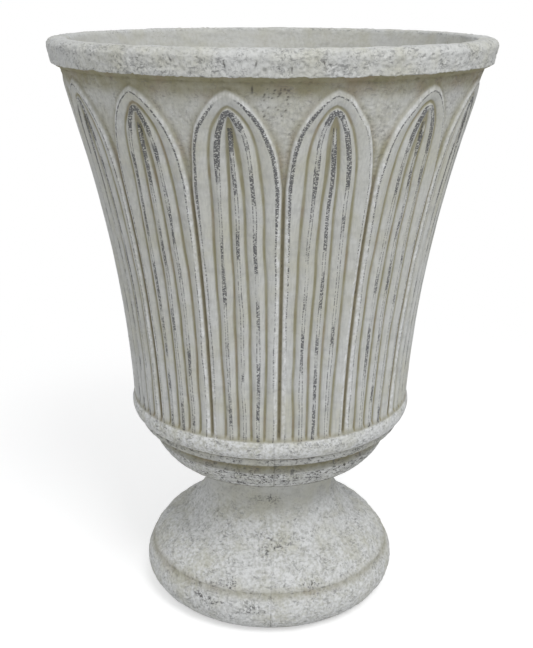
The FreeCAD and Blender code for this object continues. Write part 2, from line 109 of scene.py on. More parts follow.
# ---- mesh: rows of the frieze as (from, spacing), and columns round the castings
FRIEZE_ROWS = ((BAND_LEVEL, 0.8), (220.0, 1.2), (452.0, 0.7), (RIM_LEVEL, None))
LEAF_COLUMNS = 120
PEDESTAL_COLUMNS = 1080

# ---- a leaf: half widths against the depth below its tip
OUTLINE_ARCH = ((36.8, 71.0), (34.7, 47.0), (29.6, 29.5), (25.2, 21.6), (20.0, 14.0), (13.6, 6.6),
                (6.3, 1.2), (0.0, -1.2))
OUTLINE_STRAIGHT_POINTS, OUTLINE_OVERLAP = 12, 8.0
OUTER_GROOVE = ((17.8, 307.0), (19.6, 235.0), (21.0, 167.0), (21.2, 110.0), (20.7, 66.0), (19.4, 47.0),
                (15.4, 30.2), (9.3, 19.2), (4.4, 13.8), (0.0, 11.8))
INNER_GROOVE = ((5.9, 307.0), (6.1, 160.0), (5.7, 78.0), (4.9, 50.0), (3.7, 36.5), (2.3, 27.6), (0.0, 20.3))
GAP_HALF, GAP_HEIGHT, GAP_CLOSES = 0.8, 0.30, (55.0, 90.0)
EDGE_FOOT, ARRIS, PLATEAU = 0.7, 4.2, 0.9
FLOOR_HALF, GROOVE_HEIGHT = 0.7, 0.34
INNER_CREST, INNER_TOP = 0.48, 0.97
SPEAR_INSET, SPEAR_NARROWS, SPEAR_TOP, SPEAR_RIDGE_TIP = 1.2, (90.0, 45.0), 0.93, 27.5
BEVEL_ROUND, OUTER_ROUND, INNER_ROUND = 2.0, 2.3, 1.9
NO_RIDGE = 99.0

# ---- how the front leaves differ: lean of the tip, and rubbing of the left and right shoulder
LEANS = {-1: -0.6, 0: -2.6, 1: -2.3, 2: 1.6}
OTHER_LEAN, LEAN_DEPTH = 1.6, 85.0
SHOULDERS = {-2: (0.0, 0.2), -1: (0.1, 0.4), 0: (1.2, 1.9), 1: (1.6, -0.3), 2: (0.2, -0.2)}
OTHER_SHOULDERS = (0.3, 0.3)
WANDER, WANDER_SIZE, WANDER_STRIDE = 0.75, (9.0, 32.0, 45.0), 90.0

# ---- marks of the casting: degrees from the front, level, half width, half height, tilt
RIM_CRACKS = ((-10.0, 538.8, 0.55, 3.2, 12.0), (-3.3, 539.0, 0.55, 2.8, -14.0), (4.2, 535.5, 0.5, 2.6, 8.0),
              (-14.9, 529.5, 1.8, 0.8, 10.0), (11.0, 540.0, 0.5, 2.0, 20.0), (-22.0, 541.0, 0.6, 1.6, 35.0))
FRIEZE_MARKS = ((-4.4, 520.6, 0.75, 2.8, 0.0), (5.6, 410.0, 0.8, 0.8, 0.0), (-42.7, 405.0, 0.8, 0.8, 0.0))
FOOT_CLUSTERS = ((2.0, 78.0, 16.0, 7.0, 0.0), (-21.0, 50.0, 16.0, 4.5, 0.0), (-28.0, 33.0, 16.0, 6.0, 0.0),
                 (-6.5, 31.0, 11.0, 5.0, 0.0), (0.0, 117.0, 12.0, 5.0, 0.0), (19.0, 49.0, 11.0, 3.5, 0.0))
BLOB, BLOB_RING = (-15.5, 243.0, 1.2, 1.2, 0.0), (-15.5, 243.0, 2.0, 2.0, 0.0)
DRIP = (-20.5, 210.0, 1.8, 2.4, 0.0)
FRIEZE_DOTS, DOTS_AREA = 34, ((-2.6, 500.0), (4.0, 521.5))
MARK_DEPTH, CRACK_DEPTH, BLOB_HEIGHT, SEAM_DEPTH = 0.35, 0.6, 1.3, 0.2

# ---- the mould's seam: (degrees from the front, level)
SEAM = ((1.5, 205.0), (2.4, 165.0), (0.9, 46.0), (0.7, 8.0))
BOWL_SEAM_HALF, FOOT_SEAM_HALF = 0.7, 0.55

# ---- painted shade in the creases of the mouldings, and the foot: (level, half height, strength)
CREASE_SHADE = ((192.3, 0.8, 0.55), (183.0, 1.0, 0.4))
OVOLO_UNDER_SHADE = (150.6, 149.4)
FOOT_GROOVE_LEVEL, FOOT_FILL_LEVEL, FOOT_FILL = 43.6, 45.2, 1.3

# ---- finish: strength of each mask on the zones where it is even
# The wash and stain masks also carry painted shade, the gap mask is painted shade, the mark mask also carries
# painted shade in creases, and the white mask also carries a painted highlight on the leaves' bevels.
MASKS = ("wash_and_shade", "gap_shade", "ridge", "arris", "pitted", "stain_and_shade", "white", "mark", "inside", "wear")
EVEN_FINISH = {
    "pitted": {"ovolo": 0.85, "scotia": 0.45, "fillet": 0.7, "nick": 0.7, "band": 0.4, "rim": 0.36,
               "rim_top": 0.3, "inside": 0.05, "floor": 0.05},
    "white": {"ovolo": 1.0, "band": 1.0, "rim": 0.25, "rim_top": 0.3, "inside": 0.25, "floor": 0.25},
    # On the rim's underside the stain and wash masks are partly painted shade under the rim and partly a
    # brownish stain.
    "stain_and_shade": {"rim_under": 1.0, "inside": 0.1, "floor": 0.1},
    "wash_and_shade": {"rim_under": 0.6},
    "inside": {"inside": 1.0, "floor": 1.0}}


# ================================================================ numbers: curves and noise

def circle_through(a, b, c):
    """Centre and radius of the circle through three points."""
    (x1, y1), (x2, y2), (x3, y3) = a, b, c
    d = 2.0 * (x1 * (y2 - y3) + x2 * (y3 - y1) + x3 * (y1 - y2))
    s1, s2, s3 = x1 * x1 + y1 * y1, x2 * x2 + y2 * y2, x3 * x3 + y3 * y3
    cx = (s1 * (y2 - y3) + s2 * (y3 - y1) + s3 * (y1 - y2)) / d
    cy = (s1 * (x3 - x2) + s2 * (x1 - x3) + s3 * (x2 - x1)) / d
    return cx, cy, math.hypot(x1 - cx, y1 - cy)


def crest_radius(level):
    """Radius of the leaves' crests at a level."""
    cx, cy, reach = circle_through(*CREST)
    side = math.copysign(1.0, CREST[0][0] - cx)
    return cx + side * np.sqrt(reach ** 2 - (np.asarray(level) - cy) ** 2)


def relief_depth(level):
    """Depth of the leaves' grooves at each level; they run out on the ledge over the band."""
    full = np.interp(level, (SPRING_LEVEL, RIM_LEVEL), (RELIEF_LOW, RELIEF_TOP))
    return RELIEF_LEDGE + (full - RELIEF_LEDGE) * rise(level, BAND_LEVEL, BAND_LEVEL + LEDGE_HEIGHT)


def straight(a, b, spacing):
    """Points from a to b, about a spacing apart, without b."""
    count = max(1, round(math.dist(a, b) / spacing))
    t = np.arange(count)[:, None] / count
    return np.asarray(a) * (1.0 - t) + np.asarray(b) * t


def bend(a, through, b, spacing):
    """Points on the round curve from a through a third point to b, without b."""
    cx, cy, reach = circle_through(a, through, b)
    angles = np.unwrap([math.atan2(p[1] - cy, p[0] - cx) for p in (a, through, b)])
    count = max(2, round(abs(angles[2] - angles[0]) * reach / spacing))
    t = angles[0] + (angles[2] - angles[0]) * np.arange(count) / count
    return np.stack([cx + reach * np.cos(t), cy + reach * np.sin(t)], 1)


def smooth_line(points, per_span=14):
    """Catmull-Rom curve through points, as a fine polyline."""
    p = np.asarray(points, float)
    p = np.vstack([2 * p[0] - p[1], p, 2 * p[-1] - p[-2]])
    t = np.linspace(0.0, 1.0, per_span, endpoint=False)[:, None]
    spans = []
    for a, b, c, d in zip(p[:-3], p[1:-2], p[2:-1], p[3:]):
        spans.append(0.5 * (2 * b + (c - a) * t + (2 * a - 5 * b + 4 * c - d) * t ** 2
                            + (3 * b - a - 3 * c + d) * t ** 3))
    return np.vstack(spans + [p[-2:-1]])


def distance_to(line, x, y):
    """Distance from each point to a polyline."""
    best = np.full(x.shape, np.inf)
    for (ax, ay), (bx, by) in zip(line[:-1], line[1:]):
        dx, dy = bx - ax, by - ay
        t = np.clip(((x - ax) * dx + (y - ay) * dy) / (dx * dx + dy * dy), 0.0, 1.0)
        best = np.minimum(best, np.hypot(x - ax - t * dx, y - ay - t * dy))
    return best


def lattice(ix, iy, iz, seed):
    """A fixed scattered number from -1 to 1 for each whole-number place, by multiplying and shifting bits."""
    h = (ix * 73856093) ^ (iy * 19349663) ^ (iz * 83492791) ^ (seed * 2654435761)
    h &= 0xFFFFFFFF
    h = ((h ^ (h >> 15)) * 2246822519) & 0xFFFFFFFF
    h = ((h ^ (h >> 13)) * 3266489917) & 0xFFFFFFFF
    return (h ^ (h >> 16)) / 2147483647.5 - 1.0


def noise(points, size, seed):
    """Smooth noise from -1 to 1 whose features are about size across; size may differ along x, y and z."""
    q = points / np.asarray(size, float)
    cell = np.floor(q).astype(np.int64)
    f = q - cell
    f = f * f * f * (f * (f * 6.0 - 15.0) + 10.0)
    total = np.zeros(len(points))
    for corner in range(8):
        sides = (corner & 1, corner >> 1 & 1, corner >> 2)
        shares = [f[:, axis] if side else 1 - f[:, axis] for axis, side in enumerate(sides)]
        place = [cell[:, axis] + side for axis, side in enumerate(sides)]
        total += shares[0] * shares[1] * shares[2] * lattice(*place, seed)
    return total


def rough(points, size, seed, octaves=3):
    """Noise with finer noise on it."""
    total = np.zeros(len(points))
    for k in range(octaves):
        total += noise(points, np.asarray(size, float) / 2 ** k, seed + 17 * k) / 2 ** k
    return total


def stucco(points, seed):
    """Rough cast surface: lumps, tooled ridges, grain and pits."""
    lumps = rough(points, 10.0, seed, 2) * 0.26
    ridges = -np.abs(rough(points, (5.5, 5.5, 3.6), seed + 3, 2)) * 0.42
    grain = noise(points, 1.7, seed + 5) * 0.2
    pits = -0.6 * rise(noise(points, 2.6, seed + 9), 0.42, 0.75)
    return lumps + ridges + grain + pits + 0.15


def rise(x, low, high):
    """0 at low, 1 at high, smooth between; low may be the larger."""
    t = np.clip((x - low) / (high - low), 0.0, 1.0)
    return t * t * (3.0 - 2.0 * t)


def bell(x, middle, half):
    """1 in the middle, falling off smoothly to both sides."""
    return np.exp(-((x - middle) / half) ** 2)


# ================================================================ turned castings

class Profile:
    """A closed outline of (radius, level) points, each with the name of its zone."""

    def __init__(self):
        self.points, self.zones = [], []

    def add(self, zone, points):
        self.points.append(points)
        self.zones += [zone] * len(points)

    def add_stretches(self, stretches):
        """Straight lines and round curves, each given as zone, spacing, start, any middle, and end."""
        for zone, spacing, *ends in stretches:
            self.add(zone, bend(*ends, spacing) if len(ends) == 3 else straight(*ends, spacing))

    def finish(self):
        self.points = np.vstack(self.points)
        self.zones = np.array(self.zones)
        ahead = np.roll(self.points, -1, 0) - np.roll(self.points, 1, 0)
        ahead /= np.maximum(np.hypot(*ahead.T), 1e-9)[:, None]
        self.normals = np.stack([ahead[:, 1], -ahead[:, 0]], 1)
        steps = np.hypot(*(np.roll(self.points, -1, 0) - self.points).T)
        self.run = np.concatenate([[0.0], np.cumsum(steps)])


class Casting:
    """A turned body in the making: its profile, the relief along its normals, and the masks of its finish."""

    def __init__(self, profile, angles):
        self.profile, self.angles = profile, angles
        self.radius, self.level = profile.points[:, :1], profile.points[:, 1]
        front = math.radians(FRONT)
        self.around = (angles - front + math.pi) % (2.0 * math.pi) - math.pi + front
        shape = (len(profile.points), len(angles))
        self.flat = np.stack([self.radius * np.cos(angles), self.radius * np.sin(angles),
                              np.broadcast_to(profile.points[:, 1:], shape)], -1)
        self.offset = np.zeros(shape)
        self.masks = {key: np.zeros(shape) for key in MASKS}
        self.masks["ridge"][:] = 1.0
        for key, strengths in EVEN_FINISH.items():
            for zone, strength in strengths.items():
                self.masks[key][self.at(zone)] = strength

    def at(self, *zones):
        """The rows that lie in some zones."""
        return np.isin(self.profile.zones, zones)

    def field(self, rows, kind, *sizes, **settings):
        """A kind of noise over some rows."""
        return kind(self.flat[rows].reshape(-1, 3), *sizes, **settings).reshape(-1, len(self.angles))

    def mark(self, rows, place, radius=None):
        """Soft oval spot or stroke over some rows: 1 in its middle."""
        angle, level, half_width, half_height, tilt = place
        radius = self.radius[rows] if radius is None else radius
        across = (self.around[None, :] - math.radians(FRONT + angle)) * radius
        along = self.level[rows, None] - level
        turn = math.radians(tilt)
        u = across * math.cos(turn) + along * math.sin(turn)
        v = along * math.cos(turn) - across * math.sin(turn)
        return np.exp(-((u / half_width) ** 2 + (v / half_height) ** 2) ** 1.5)

    def seam(self, rows, half_width):
        """Thin upright line where the mould's halves met, near the front."""
        place = np.interp(-self.level[rows], [-level for _, level in SEAM], [angle for angle, _ in SEAM])
        across = self.around[None, :] - np.radians(FRONT + place)[:, None]
        return np.exp(-(across * self.radius[rows] / half_width) ** 2)

    def raise_mask(self, key, rows, values):
        """Make a mask at least as strong as some values."""
        self.masks[key][rows] = np.maximum(self.masks[key][rows], values)


def turned_object(name, casting):
    """A casting as an object with one closed mesh; its masks become attributes of the points."""
    profile = casting.profile
    rows, columns = casting.offset.shape
    radius = profile.points[:, :1] + profile.normals[:, :1] * casting.offset
    level = profile.points[:, 1:] + profile.normals[:, 1:] * casting.offset
    x, y = radius * np.cos(casting.angles), radius * np.sin(casting.angles)
    places = np.stack([x, y, level], -1).reshape(-1, 3) * MM
    i, j = np.arange(rows)[:, None], np.arange(columns)[None, :]
    i2, j2 = (i + 1) % rows, (j + 1) % columns
    corners = [i * columns + j, i * columns + j2, i2 * columns + j2, i2 * columns + j]
    quads = np.stack(corners, -1).reshape(-1, 4)
    mesh = bpy.data.meshes.new(name)
    mesh.vertices.add(len(places))
    mesh.vertices.foreach_set("co", places.astype(np.float32).ravel())
    mesh.loops.add(quads.size)
    mesh.loops.foreach_set("vertex_index", quads.astype(np.int32).ravel())
    mesh.polygons.add(len(quads))
    mesh.polygons.foreach_set("loop_start", np.arange(0, quads.size, 4, dtype=np.int32))
    mesh.polygons.foreach_set("use_smooth", np.ones(len(quads), bool))
    shape = (rows, columns, 4)
    u = np.broadcast_to(np.stack([j, j + 1, j + 1, j], -1) / columns, shape)
    run = profile.run / profile.run[-1]
    v = np.broadcast_to(np.stack([run[:-1], run[:-1], run[1:], run[1:]], -1)[:, None, :], shape)
    mesh.uv_layers.new(name="OFBake")
    mesh.uv_layers[0].data.foreach_set("uv", np.stack([u, v], -1).astype(np.float32).ravel())
    mesh.update(calc_edges=True)
    for key, values in casting.masks.items():
        attribute = mesh.attributes.new(key, "FLOAT", "POINT")
        attribute.data.foreach_set("value", values.astype(np.float32).ravel())
    return bpy.data.objects.new(name, mesh)


# ================================================================ the leaves' relief

def rounded(share, steepness):
    """Height of a rounded flank, 0 at its foot and 1 at its top, against the share of its width."""
    return 1.0 - (1.0 - np.clip(share, 0.0, 1.0)) ** steepness


def half_width(line, depth):
    """Half width of an arch at each depth, below zero above its tip."""
    order = np.argsort(line[:, 1])
    return np.interp(depth, line[order, 1], line[order, 0], left=-1.0)


def leaf_outline():
    """The leaf's outer edge, from its foot up the side and round the pointed arch."""
    low = np.linspace(TIP_LEVEL - BAND_LEVEL, TIP_LEVEL - SPRING_LEVEL + OUTLINE_OVERLAP,
                      OUTLINE_STRAIGHT_POINTS)
    sides = np.stack([crest_radius(TIP_LEVEL - low) * LEAF_PITCH / 2.0 - GAP_HALF, low], 1)
    return smooth_line(np.vstack([sides, OUTLINE_ARCH]))


class Leaf:
    """One leaf's share of the frieze, as a grid of depths below the tip and distances to the leaf's lines."""

    def __init__(self, levels, index):
        self.index = index
        self.level = levels[:, None]
        share = np.arange(LEAF_COLUMNS)[None, :] / LEAF_COLUMNS - 0.5
        self.side = share * LEAF_PITCH * crest_radius(self.level)
        self.depth = np.broadcast_to(TIP_LEVEL - self.level, self.side.shape)
        self.x = np.abs(self.side + self.shift(share))
        lines = (leaf_outline(), smooth_line(OUTER_GROOVE), smooth_line(INNER_GROOVE))
        inside, self.in_outer, self.in_inner = [self.x < half_width(line, self.depth) for line in lines]
        edge, self.mid, self.near = [distance_to(line, self.x, self.depth) for line in lines]
        self.edge = np.where(inside, edge, -edge)
        self.inside = inside
        self.crest = INNER_CREST * (self.mid + self.near)
        self.closing = rise(self.depth, *GAP_CLOSES)
        self.inset = SPEAR_INSET * rise(self.depth, *SPEAR_NARROWS)

    def shift(self, share):
        """How far the ribs wander and lean, which dies out towards the neighbouring leaves."""
        free = 1.0 - rise(np.abs(share), 0.40, 0.5)
        shape = self.side.shape
        spot = np.stack([self.side, self.depth, np.full(shape, WANDER_STRIDE * self.index)], -1)
        wander = noise(spot.reshape(-1, 3), WANDER_SIZE, seed=19).reshape(shape) * WANDER
        lean = LEANS.get(self.index, OTHER_LEAN * float(lattice(self.index, 5, 9, seed=3)))
        return free * (wander - lean * rise(-self.depth, -LEAN_DEPTH, 0.0))

    def height(self):
        """0 on the ground round the leaf, 1 on its crests."""
        floor = GAP_HEIGHT * self.closing
        bevel = floor + (1.0 - floor) * rounded((self.edge + EDGE_FOOT) / (ARRIS + EDGE_FOOT), BEVEL_ROUND)
        mid_up = np.maximum(self.mid - FLOOR_HALF, 0.0)
        near_up = np.maximum(self.near - FLOOR_HALF, 0.0)
        flat = rounded(mid_up / np.maximum(self.edge + self.mid - ARRIS - FLOOR_HALF, 1.5), OUTER_ROUND)
        outer_rib = np.where(self.edge < ARRIS, bevel, GROOVE_HEIGHT + (1.0 - GROOVE_HEIGHT) * flat)
        span = self.mid + self.near
        left = mid_up / np.maximum(self.crest - PLATEAU - FLOOR_HALF, 1.2)
        right = near_up / np.maximum(span - self.crest - PLATEAU - FLOOR_HALF, 1.2)
        flank = np.where(self.mid < self.crest, left, right)
        inner_rib = GROOVE_HEIGHT + (INNER_TOP - GROOVE_HEIGHT) * rounded(flank, INNER_ROUND)
        near_in = np.maximum(self.near - self.inset - FLOOR_HALF * 0.6, 0.0)
        flank = near_in / np.maximum(near_in + self.x - 0.6, 1.5)
        spear = GROOVE_HEIGHT + (SPEAR_TOP - GROOVE_HEIGHT) * rounded(flank, INNER_ROUND)
        return np.where(self.in_inner, spear, np.where(self.in_outer, inner_rib, outer_rib))

    def ridge(self):
        """Distance to the crest that the dry-brush touches."""
        spear = self.x + 9.0 * (self.depth < SPEAR_RIDGE_TIP)
        rib = np.where(self.in_outer, np.abs(self.mid - self.crest), NO_RIDGE)
        return np.where(self.in_inner, spear, rib)

    def rubbed(self):
        """Rubbing of the shoulders, which fades towards the tip and the straight sides."""
        left, right = SHOULDERS.get(self.index, OTHER_SHOULDERS)
        rubbing = np.where(self.side < 0.0, left, right)
        return rubbing * rise(self.depth, 4.0, 20.0) * rise(self.depth, 130.0, 75.0)

    def groove(self):
        """1 on the floors of the two grooves."""
        inset = self.inset * self.in_inner
        outer = rise(self.mid, 1.9, 0.5)
        inner = rise(self.near, 1.9 + inset, 0.5 + inset) * rise(self.depth, 18.0, 20.5)
        return np.maximum(outer, inner) * self.inside

    def shade_in_gap(self, groove):
        """Painted shade: a dark line in the gap between two leaves, and in the grooves' ends on the ledge."""
        line = np.where(self.edge < 0.0, 1.0, np.exp(-(self.edge / 0.7) ** 2)) * self.closing
        line = line * rise(self.level, BAND_LEVEL, BAND_LEVEL + 5.0)
        return np.maximum(line, 0.5 * groove * bell(self.level, 215.5, 1.8))

    def finish(self):
        """The leaf's height and the masks of its finish, with painted shade in the gaps and a painted
        highlight on the outer bevel.
        """
        edge, rubbed, groove = self.edge, self.rubbed(), self.groove()
        beside = np.where(edge < 0.0, np.exp(-(edge / 3.8) ** 2), np.exp(-(edge / 0.8) ** 2))
        beside = beside * (0.42 + 0.4 * rise(self.depth, 8.0, 60.0))
        wear = 0.35 + 0.65 * rise(self.depth, 150.0, 30.0) + rubbed * bell(edge, ARRIS, 2.0)
        return {"height": self.height(),
                "wash_and_shade": np.maximum(groove, beside),
                "gap_shade": self.shade_in_gap(groove),
                # Painted highlight: a whiter band on each leaf's outer bevel.
                "white": rise(edge, 0.6, 1.6) * rise(edge, ARRIS + 0.4, ARRIS - 0.6),
                "ridge": self.ridge(),
                "arris": np.where(self.in_outer, 0.0, bell(edge, ARRIS, 0.65 + 0.7 * rubbed)),
                "wear": wear,
                "in_leaf": rise(edge, -0.5, 1.0)}


# ================================================================ bowl

def bowl_profile():
    """Outline of the bowl, from its underside up the outside, over the rim and down to the pipe's hole."""
    p = Profile()
    p.add_stretches(BOWL_BELOW_LEAVES)
    ends = zip(FRIEZE_ROWS[:-1], FRIEZE_ROWS[1:])
    levels = np.concatenate([np.arange(low, high, spacing) for (low, spacing), (high, _) in ends])
    p.add("frieze", np.stack([crest_radius(levels) - relief_depth(levels), levels], 1))
    p.add("rim_under", straight((crest_radius(RIM_LEVEL) - RELIEF_TOP, RIM_LEVEL), RIM_CORNER, 0.8))
    p.add_stretches(BOWL_ABOVE_LEAVES)
    p.finish()
    slope = np.gradient(crest_radius(levels), levels)
    upright = np.stack([np.ones_like(slope), -slope], 1) / np.hypot(1.0, slope)[:, None]
    p.normals[p.zones == "frieze"] = upright
    return p


def carve_leaves(bowl):
    """The ring of leaves and the rough ground between them; gives back how far each point is in a leaf."""
    rows = bowl.at("frieze")
    levels = bowl.level[rows]
    indices = [(k + LEAF_COUNT // 2) % LEAF_COUNT - LEAF_COUNT // 2 for k in range(LEAF_COUNT)]
    leaves = [Leaf(levels, index).finish() for index in indices]
    leaf = {key: np.hstack([one[key] for one in leaves]) for key in leaves[0]}
    in_leaf = leaf["in_leaf"]
    ground = bowl.field(rows, stucco, seed=41) * 1.1
    on_rib = bowl.field(rows, rough, (7.0, 7.0, 34.0), seed=53) * 0.16
    on_rib += bowl.field(rows, noise, (7.0, 7.0, 1.3), seed=59) * 0.05
    bowl.offset[rows] = leaf["height"] * relief_depth(levels)[:, None]
    bowl.offset[rows] += ground * (1.0 - in_leaf) + on_rib * in_leaf
    for key in ("wash_and_shade", "gap_shade", "arris", "white", "wear"):
        bowl.masks[key][rows] = leaf[key]
    # Painted shade where the leaves' feet meet the ledge over the band.
    bowl.raise_mask("wash_and_shade", rows, 0.6 * (1.0 - rise(levels, 212.5, 218.0))[:, None])
    # Painted shade in a narrow band just below the rim.
    bowl.raise_mask("wash_and_shade", rows, 0.4 * rise(levels, 521.5, 524.0)[:, None])
    # Darker towards the rim: partly painted shade under the rim and partly a brownish stain. From about level
    # 250 up, the frieze is a little darker as well.
    darker_to_rim = 0.75 * rise(levels, 509.0, 521.0) + 0.18 * rise(levels, 250.0, 420.0)
    bowl.masks["stain_and_shade"][rows] = darker_to_rim[:, None] * (1.0 - 0.55 * in_leaf)
    bowl.masks["ridge"][rows] = np.clip(leaf["ridge"] / 10.0, 0.0, 1.0)
    bowl.masks["pitted"][rows] = 0.17 * (1.0 - in_leaf) + 0.05
    bowl.masks["white"][rows] += 0.35 * (1.0 - in_leaf)
    return in_leaf


def dot_places():
    """Scattered dots of dirt between the two front leaves, under the rim."""
    (low_angle, low_level), (high_angle, high_level) = DOTS_AREA
    places = []
    for k in range(FRIEZE_DOTS):
        chance = [0.5 + 0.5 * float(lattice(k, 3, item, seed=77)) for item in range(4)]
        places.append((low_angle + (high_angle - low_angle) * chance[0],
                       low_level + (high_level - low_level) * chance[1] ** 0.7,
                       0.5 + 0.5 * chance[2], 0.4 + 0.25 * chance[3], 25.0 * chance[2]))
    return places


def mark_frieze(bowl, in_leaf):
    """Dark marks on the frieze, and a blob and a drip of stone on the leaves."""
    rows = bowl.at("frieze")
    radius = crest_radius(bowl.level[rows])[:, None]
    for place in (*FRIEZE_MARKS, *dot_places()):
        spot = bowl.mark(rows, place, radius)
        bowl.raise_mask("mark", rows, spot * (1.0 - 0.8 * in_leaf))
        bowl.offset[rows] -= MARK_DEPTH * spot
    blob = bowl.mark(rows, BLOB, radius)
    bowl.raise_mask("mark", rows, bowl.mark(rows, BLOB_RING, radius) - blob)
    blob += bowl.mark(rows, DRIP, radius)
    bowl.offset[rows] += BLOB_HEIGHT * blob
    bowl.masks["white"][rows] += blob
    bowl.masks["wash_and_shade"][rows] *= 1.0 - np.clip(blob, 0.0, 1.0)


def finish_mouldings(bowl):
    """The band, fillet, scotia and ovolo, with painted shade in their creases, and the mould's seam."""
    band = bowl.at("band")
    bowl.offset[band] = bowl.field(band, rough, 9.0, seed=61) * 0.16 + bowl.field(band, stucco, seed=63) * 0.2
    rolls = bowl.at("fillet", "nick", "scotia", "ovolo")
    level = bowl.level[rolls]
    bowl.offset[rolls] = bowl.field(rolls, stucco, seed=71) * 0.6
    # Olive wash in the scotia, and painted shade in the nick.
    wash_and_shade = rise(level, 168.5, 178.0) * rise(level, 186.0, 182.0) + 0.7 * bell(level, 192.6, 1.1)
    # Painted shade along the ovolo's lower edge under its overhang, and a little wash everywhere.
    wash_and_shade += 0.8 * rise(level, 151.5, 149.0) + 0.1
    bowl.masks["wash_and_shade"][rolls] = wash_and_shade[:, None]
    # Painted shade: dark lines in the creases and under the ovolo, broken up in places.
    crease_shade = sum(strength * bell(level, middle, half) for middle, half, strength in CREASE_SHADE)
    crease_shade += 0.75 * rise(level, *OVOLO_UNDER_SHADE)
    torn = 0.45 + 0.55 * rise(bowl.field(rolls, noise, 5.0, seed=67), -0.2, 0.5)
    bowl.masks["mark"][rolls] = crease_shade[:, None] * torn
    lined = band | rolls
    seam = bowl.seam(lined, BOWL_SEAM_HALF)
    bowl.offset[lined] -= SEAM_DEPTH * seam
    bowl.raise_mask("mark", lined, 0.35 * seam)


def finish_rim(bowl):
    """The rough rolled rim with its cracks, and its flatter top; both only lose height."""
    rows = bowl.at("rim", "rim_under")
    uneven = bowl.field(rows, rough, 26.0, seed=87, octaves=2) * 0.4 - 0.6
    bowl.offset[rows] = np.minimum(bowl.field(rows, stucco, seed=83) * 1.6 + uneven, 0.0)
    face = bowl.at("rim")
    for place in RIM_CRACKS:
        spot = bowl.mark(face, place)
        bowl.offset[face] -= CRACK_DEPTH * spot
        bowl.raise_mask("mark", face, spot)
    top = bowl.at("rim_top")
    uneven = bowl.field(top, rough, 10.0, seed=91) * 0.3 + bowl.field(top, stucco, seed=93) * 0.3 - 0.35
    bowl.offset[top] = np.minimum(uneven, 0.0)


def finish_inside(bowl):
    """The bowl's inner wall and floor, a little uneven."""
    rows = bowl.at("inside", "floor")
    bowl.offset[rows] = bowl.field(rows, rough, (34.0, 34.0, 15.0), seed=97, octaves=4) * 0.45
    bowl.offset[rows] += bowl.field(rows, stucco, seed=99) * 0.25


def build_bowl():
    """The bowl as one closed mesh, with its leaves, mouldings and rough rim."""
    columns = LEAF_COUNT * LEAF_COLUMNS
    spacing = 2.0 * math.pi / columns
    start = math.radians(FRONT + LEAF_PHASE) - spacing * LEAF_COLUMNS / 2.0
    casting = Casting(bowl_profile(), start + spacing * np.arange(columns))
    mark_frieze(casting, carve_leaves(casting))
    finish_mouldings(casting)
    finish_rim(casting)
    finish_inside(casting)
    bowl = turned_object("bowl_stone", casting)
    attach(bowl, "root")
    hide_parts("bowl")
    return bowl


# ================================================================ pedestal

def finish_foot(foot):
    """Rough stucco, smoother and yellower on the neck, with clusters of pits and the groove's wash."""
    rows = foot.at("roll", "groove", "dome", "cove", "neck")
    level = foot.level[rows, None]
    smoother = 1.0 - 0.65 * rise(level, 84.0, 108.0)
    foot.offset[rows] = foot.field(rows, stucco, seed=101) * smoother * 1.6
    foot.masks["pitted"][rows] = 0.32 - 0.12 * rise(level, 92.0, 112.0)
    foot.masks["pitted"][rows] += 0.5 * rise(level, 136.0, 142.0)
    for place in FOOT_CLUSTERS:
        foot.masks["pitted"][rows] += 0.45 * foot.mark(rows, place)
    foot.masks["wash_and_shade"][rows] += bell(level, FOOT_GROOVE_LEVEL, 4.2) * 0.55
    foot.offset[rows] += FOOT_FILL * bell(level, FOOT_FILL_LEVEL, 2.2)
    neck = rise(level, 92.0, 118.0)
    foot.masks["stain_and_shade"][rows] += 0.12 * neck
    foot.masks["white"][rows] += 0.95 * (1.0 - neck)


def seam_foot(foot):
    """The mould's seam on the dome and foot, broken and stronger on the roll."""
    rows = foot.at("roll", "groove", "dome")
    level = foot.level[rows]
    seam = foot.seam(rows, FOOT_SEAM_HALF)
    broken = rise(noise(np.stack([level / 5.0] * 3, 1), 1.0, seed=15), -0.35, 0.35)[:, None]
    strength = (0.2 + 0.5 * rise(level, 50.0, 44.0)[:, None]) * (0.35 + 0.65 * broken)
    foot.offset[rows] -= seam * strength * 0.5
    foot.masks["mark"][rows] = seam * strength


def sink_pads(foot):
    """The four round recesses that hold the pads."""
    stand = foot.at("stand")
    for place in PAD_PLACES:
        x = PAD_CIRCLE * math.cos(math.radians(place))
        y = PAD_CIRCLE * math.sin(math.radians(place))
        inside = np.hypot(foot.flat[..., 0] - x, foot.flat[..., 1] - y) < PAD_RECESS_RADIUS
        foot.offset -= PAD_RECESS_DEPTH * (inside & stand[:, None])


def build_pedestal():
    """The neck and foot as one closed mesh with rough stucco and the recesses for the pads."""
    profile = Profile()
    profile.add_stretches(PEDESTAL)
    profile.finish()
    turn = 2.0 * math.pi * np.arange(PEDESTAL_COLUMNS) / PEDESTAL_COLUMNS
    casting = Casting(profile, math.radians(FRONT) - math.pi + turn)
    finish_foot(casting)
    hollow = casting.at("hollow")
    casting.offset[hollow] = casting.field(hollow, rough, 20.0, seed=131) * 0.3
    seam_foot(casting)
    sink_pads(casting)
    pedestal = turned_object("pedestal_stone", casting)
    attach(pedestal, "root")
    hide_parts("pedestal")
    return pedestal


# ================================================================ materials

def linear(*rgb):
    """Linear colour of an sRGB one given from 0 to 255."""
    values = [v / 255.0 for v in rgb]
    return tuple(v / 12.92 if v <= 0.04045 else ((v + 0.055) / 1.055) ** 2.4 for v in values) + (1.0,)


